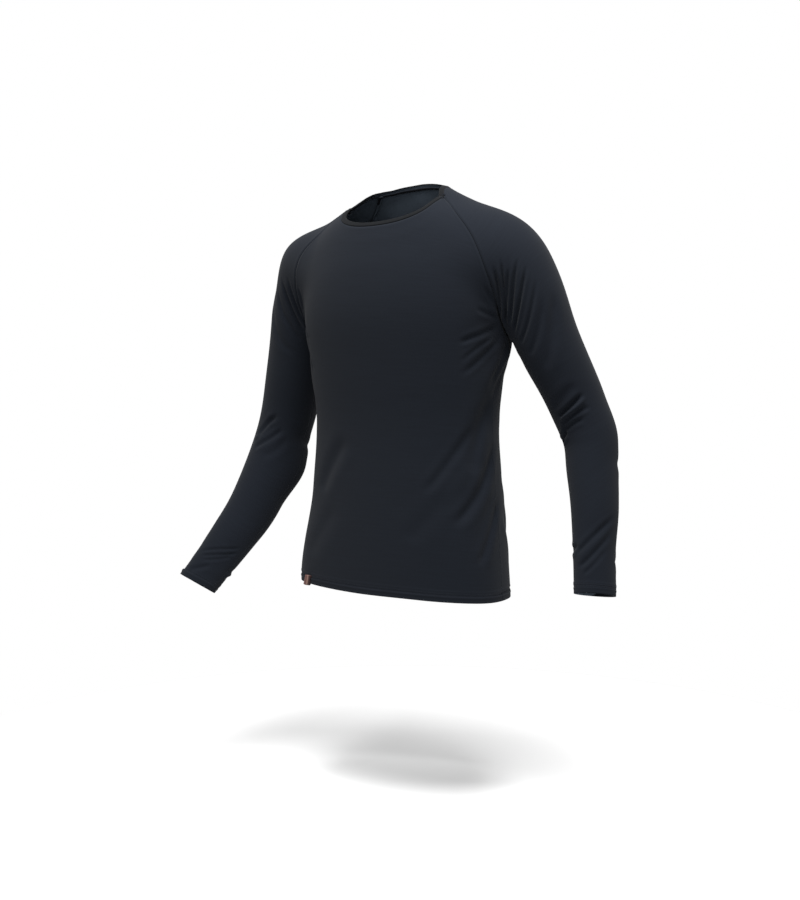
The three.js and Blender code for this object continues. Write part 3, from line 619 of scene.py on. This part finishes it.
def jersey(name, colour, light, turned=None):
    """Matt knitted polyester jersey: a fine dull mottle, faint slubs across, and a soft sheen. turned is
    the colour of the turned-up hem, whose face shows on the inside, and the painted shade of the inside
    where above_hem is 0."""
    material = bpy.data.materials.new(name)
    material.use_nodes = True
    surface = material.node_tree.nodes["Principled BSDF"]
    uv = add(material, "UVMap", uv_map="cloth").outputs["UV"]
    # Loops 0.6 mm wide are too fine to show, so the mottle is drawn 2.4 mm wide
    mottle = add(material, "TexNoise", {"Vector": uv, "Scale": 420.0, "Detail": 3.0, "Roughness": 0.6})
    # Slubs in the yarn, about 62 mm long and 2.6 mm high. Real ones are 1 mm high, too fine to show.
    wide = add(material, "Mapping", {"Vector": uv})
    wide.inputs["Scale"].default_value = (16, 380, 1)
    slubs = add(material, "TexNoise", {"Vector": wide.outputs["Vector"], "Scale": 1.0, "Detail": 2.0})
    share = add(material, "Mix", {"Factor": 0.45, "A": mottle.outputs["Fac"], "B": slubs.outputs["Fac"]})
    tone = add(material, "Mix", {"Factor": share.outputs["Result"]}, data_type="RGBA")
    tone.inputs[6].default_value, tone.inputs[7].default_value = linear(colour), linear(light)
    result = tone.outputs[2]
    if turned:
        above = add(material, "Attribute", attribute_name="above_hem").outputs["Fac"]
        # The turned-up cloth ends 2 mm above the middle of its stitches
        inside = add(material, "Math", {0: above, 1: (HEM_HEIGHT + 2) * MM}, operation="GREATER_THAN")
        face = add(material, "Mix", {"Factor": inside.outputs[0]}, data_type="RGBA")
        face.inputs[6].default_value = linear(turned)
        material.node_tree.links.new(result, face.inputs[7])
        result = face.outputs[2]
    material.node_tree.links.new(result, surface.inputs["Base Color"])
    surface.inputs["Roughness"].default_value = 0.86
    surface.inputs["Sheen Weight"].default_value = 0.02
    surface.inputs["Sheen Roughness"].default_value = 0.6
    surface.inputs["Specular IOR Level"].default_value = 0.04
    bump = add(material, "Bump", {"Height": mottle.outputs["Fac"], "Strength": 0.12, "Distance": 0.0004})
    material.node_tree.links.new(bump.outputs["Normal"], surface.inputs["Normal"])
    return material


CLOTH_OUTSIDE = jersey("jersey", "#090b10", "#10141a")
# The inside is drawn far paler than the outside, as painted light for the light that falls in at the neck
# opening. Its turned colour is the turned-up hem's face, and painted shade where above_hem is 0.
CLOTH_INSIDE_PAINTED_LIGHT_AND_SHADE = jersey("jersey_inside_painted_light_and_shade", "#333a42", "#3d454e", turned="#0b0d12")
# The thread is as matt as the jersey and a shade paler. Its stitches have no UV map, so it is plain.
THREAD = jersey("thread", "#16181d", "#1b1d22")

# Small shifts of all cloth near a spot, in millimetres: the spot, how far it reaches, and the shift
NUDGES = [
    # the neck is a little narrower, and higher at its back on the right
    ((-96, 4, -18), 58, (8, 2, -2)),
    ((86, 4, -4), 54, (-13, -3, 8)),
    ((-58, 40, -2), 56, (2, 3, 5)),
    ((-78, 14, -8), 46, (0, 0, 11)),
    ((10, 62, 8), 70, (0, 0, 1)),
    # the right shoulder is fuller
    ((-196, -30, -96), 84, (-9, -6, 9)),
    # the left armpit lies lower and further out
    ((178, 18, -246), 64, (6, 4, -13)),
    ((232, 26, -326), 76, (2, 1, 1)),
    # the elbows and both cuffs
    ((345, 84, -372), 60, (4, 2, 0)),
    ((-246, 36, -462), 70, (10, 6, -2)),
    ((-362, -116, -640), 62, (-7, -5, -7)),
    ((352, 40, -560), 70, (-3, -2, -2)),
    # the hem flares and drops at the right of the front
    ((-158, -40, -610), 130, (-9, -6, -5)),
    ((-50, -90, -640), 130, (0, 0, -6)),
    ((60, -90, -640), 110, (0, 0, -2)),
]
neck = band_net()
band = Shell("neckband", neck, 1, 0, 1.4)
shells = [
    Shell("front", body_net("front"), 1, None, 2.5, [(0.02, 1.0), (0.66, 0.5)], [(0, 1.2), (1, 1.2)]),
    Shell("back", body_net("back"), -1, None, 2.65, [(0.02, 1.0), (0.66, 0.4)], [(0, 1.0), (1, 1.0)]),
    Shell("sleeve_left", sleeve_net("sleeve_left"), -1, CAP_ROWS, 2.25,
          [(0.24, 0.9), (0.34, 0.9), (0.98, 0.5)], [(0, 1.2), (0.1, 1.2), (1, 0.2)]),
    Shell("sleeve_right", sleeve_net("sleeve_right"), 1, CAP_ROWS, 2.35,
          [(0.3, 0.6), (0.98, 0.6)], [(0, 0.6), (1, 0.6)]),
]
underarm = shells[2].points[shells[2].ring][0, 0, 2]
# Where the armpits gather the front raglan seams: the edge, and the height in metres. The dip there
# fades over 34 mm up and down.
GATHERED = {
    "front": [(LAST_COLUMN, -0.188), (FIRST_COLUMN, -0.205)],
    "back": [],
    "sleeve_left": [(FIRST_COLUMN, -0.188)],
    "sleeve_right": [(FIRST_COLUMN, -0.205)],
}
# Each panel is stretched up under the neckband, nudged, creased and given its seam dips, hem stitches and
# turned-in edges, then built
for shell in shells:
    neck_edge, hem_edge = (FIRST_ROW, LAST_ROW) if shell.cap else (LAST_ROW, FIRST_ROW)
    shell.grow(neck_edge, BAND_SHIFT, neck[0], neck[-1])
    if shell.cap:
        # The smooth curve cuts the corners of the coarse rings, so they are let out again
        shell.points = shell.points + shell.out * MM * smooth((shell.rows - CAP_ROWS) / 4)[:, None, None]
    shell.nudge(NUDGES)
    shell.crease(CREASES)
    # The seams lie in soft dips, but for the side seams, which hardly show
    for edge in (FIRST_COLUMN, LAST_COLUMN):
        height = shell.points[:, 0 if edge == FIRST_COLUMN else -1, 2]
        shell.groove(edge, RAGLAN_DIP, (~shell.ring if shell.cap else height > underarm).astype(float))
    shell.groove(neck_edge, NECK_DIP)
    for edge, at in GATHERED[shell.name]:
        height = shell.points[:, 0 if edge == FIRST_COLUMN else -1, 2]
        shell.groove(edge, GATHERED_DIP, np.exp(-(((height - at) / (34 * MM)) ** 2)) * (~shell.ring))
    shell.groove(hem_edge, HEM_DIP, at=HEM_HEIGHT)
    lines = [shell.line_at(hem_edge, HEM_HEIGHT + step, THREAD_LIFT) for step in (-NEEDLES, NEEDLES)]
    if shell.cap:
        # Close under the neckband the sleeve laps under the front and back too
        for edge in (FIRST_COLUMN, LAST_COLUMN):
            shell.tuck(edge, LAP_AT_NECK, np.arange(len(shell.points)) >= LAP_ROWS)
    else:
        # The raglan seams show as a thin gap. The side seams close, with the front's cloth under the back.
        below = shell.points[:, 0, 2] < underarm + 4 * MM
        first = np.where(below, 0.3, 1.5)[:, None, None]
        for edge in (FIRST_COLUMN, LAST_COLUMN):
            shell.tuck(edge, [(0.3, first), (0.6, 1.6), (4, 1.8)], below & (shell.name == "back"))
    shell.tuck(neck_edge, UNDER_BAND)
    piece = shell.build(CLOTH)
    piece.data.materials.append(CLOTH_OUTSIDE)
    piece.data.materials.append(CLOTH_INSIDE_PAINTED_LIGHT_AND_SHADE)
    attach(piece, "root")
    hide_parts(shell.name)
    thread = stitching("stitches_" + shell.name, lines)
    thread.data.materials.append(THREAD)
    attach(thread, "root")

# The neckband, with both its edges rolled in as a folded strip's are
band.grow(FIRST_ROW, BAND_SHIFT, neck[0], neck[-1])
band.nudge(NUDGES)
band.roll(LAST_ROW, 1.3, 1.8)
band.roll(FIRST_ROW, 0.8, 1.2)
piece = band.build(BAND_WALL)
piece.data.materials.append(jersey("neckband_jersey", "#040506", "#06070a"))
# The band's inside is as pale as the panels' inside, as painted light
piece.data.materials.append(jersey("neckband_inside_painted_light", "#333a42", "#3d454e"))
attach(piece, "root")
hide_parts("neckband")


def hem_tab(width=13, height=16.5, fold=1.4, wall=0.9):
    """The small tape tab, a strip folded at its lower end: down in front, round below and up behind."""
    bottom, out = np.array([-140.5, -80.5, -636.2]), np.array([-0.35, -0.94, 0])
    across = np.array([0.94, -0.35, 0])
    bm = bmesh.new()
    bmesh.ops.create_grid(bm, x_segments=14, y_segments=40, size=1)
    uv = bm.loops.layers.uv.new("cloth")
    for face in bm.faces:
        for loop in face.loops:
            loop[uv].uv = ((loop.vert.co.x + 1) / 2, (loop.vert.co.y + 1) * height / width)
    for v in bm.verts:
        side, way = v.co.x, (1 - v.co.y) * height
        # The tape arches forward, and leans
        crown = 2.2 * (1 - side**2) - 0.8 * side
        if way < height - fold:
            off, up = fold, height - way
        elif way < height + fold:
            turn = (way - height) / fold * math.pi / 2
            off, up = -fold * math.sin(turn), fold * (1 - math.cos(turn))
        else:
            off, up = -fold, way - height
        lean = 0.3 * up + 0.5 * math.sin(up / 5 + side)
        spot = bottom + across * (side * width / 2 + lean - 0.8) + out * (off + crown) + (0, 0, up)
        v.co = spot * MM
    mesh = bpy.data.meshes.new("hem_tab")
    bm.to_mesh(mesh)
    bm.free()
    mesh.shade_smooth()
    piece = bpy.data.objects.new("tape_hem_tab", mesh)
    bpy.context.collection.objects.link(piece)
    thick = piece.modifiers.new("wall", "SOLIDIFY")
    thick.thickness = wall * MM
    thick.offset = 0
    return piece


def tape():
    """Woven polyester tape: bands of brown along it, and a fine weft across that dulls it. The darkest
    band, at its right edge, is painted shade. Its UV map is in tape widths."""
    material = bpy.data.materials.new("woven_tape")
    material.use_nodes = True
    surface = material.node_tree.nodes["Principled BSDF"]
    uv = add(material, "UVMap", uv_map="cloth").outputs["UV"]
    across = add(material, "SeparateXYZ", {"Vector": uv}).outputs["X"]
    bands = add(material, "ValToRGB", {"Fac": across})
    # The near-black band from 0.86 on, at the tape's right edge, is painted shade
    stops = [(0.0, "#4c3431"), (0.22, "#63463f"), (0.45, "#3e2322"), (0.7, "#6d564d"), (0.86, "#271615")]
    ramp = bands.color_ramp
    while len(ramp.elements) < len(stops):
        ramp.elements.new(0.5)
    for element, (at, colour) in zip(ramp.elements, stops):
        element.position, element.color = at, linear(colour)
    material.node_tree.links.new(bands.outputs["Color"], surface.inputs["Base Color"])
    surface.inputs["Roughness"].default_value = 0.7
    surface.inputs["Specular IOR Level"].default_value = 0.2
    # A weft thread every 0.27 mm of a tape 13 mm wide, which is too fine to show one by one
    weft = add(material, "TexWave", {"Vector": uv, "Scale": 15.0}, bands_direction="Y")
    bump = add(material, "Bump", {"Height": weft.outputs["Fac"], "Strength": 0.3, "Distance": 0.0001})
    material.node_tree.links.new(bump.outputs["Normal"], surface.inputs["Normal"])
    return material


tab = hem_tab()
tab.data.materials.append(tape())
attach(tab, "root")
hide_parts("hem_tab")

# The floor is a round pale card, far below the hem. The light is soft, from above and from a white world.
bpy.ops.mesh.primitive_circle_add(vertices=96, radius=0.95, fill_type="NGON", location=(0, 0, -0.985))
floor = bpy.context.object
floor.name = "floor"
card = bpy.data.materials.new("floor_card")
card.use_nodes = True
card.node_tree.nodes["Principled BSDF"].inputs["Base Color"].default_value = linear("#d0d0d0")
card.node_tree.nodes["Principled BSDF"].inputs["Roughness"].default_value = 0.95
floor.data.materials.append(card)


def soft_light(name, place, aim, size, watts):
    data = bpy.data.lights.new(name, "AREA")
    data.energy, data.size = watts, size
    lamp = bpy.data.objects.new(name, data)
    bpy.context.collection.objects.link(lamp)
    lamp.location = place
    lamp.rotation_euler = (Vector(aim) - Vector(place)).to_track_quat("-Z", "Y").to_euler()


soft_light("overhead", place=(0.4, -0.7, 1.5), aim=(0, 0, -0.2), size=1.0, watts=134)
world = bpy.data.worlds.new("world")
bpy.context.scene.world = world
world.use_nodes = True
world.node_tree.nodes["Background"].inputs["Color"].default_value = (1, 1, 1, 1)
world.node_tree.nodes["Background"].inputs["Strength"].default_value = 1.0

# The camera stands round to the wearer's left and looks a little down, with a lens of 1419 pixels for a
# picture 900 pixels high
AZIMUTH, PITCH, DISTANCE = math.radians(32), math.radians(3.94), 2.3
camera_data = bpy.data.cameras.new("camera")
camera_data.sensor_fit = "VERTICAL"
camera_data.sensor_height = 36
camera_data.lens = 1419 / 900 * 36
camera_data.shift_x = -6 / 900
camera = bpy.data.objects.new("camera", camera_data)
bpy.context.collection.objects.link(camera)
camera.location = (math.sin(AZIMUTH) * DISTANCE, -math.cos(AZIMUTH) * DISTANCE, -0.256)
camera.rotation_euler = (math.pi / 2 - PITCH, 0, AZIMUTH)
bpy.context.scene.camera = camera
bpy.context.scene.view_settings.view_transform = "Standard"
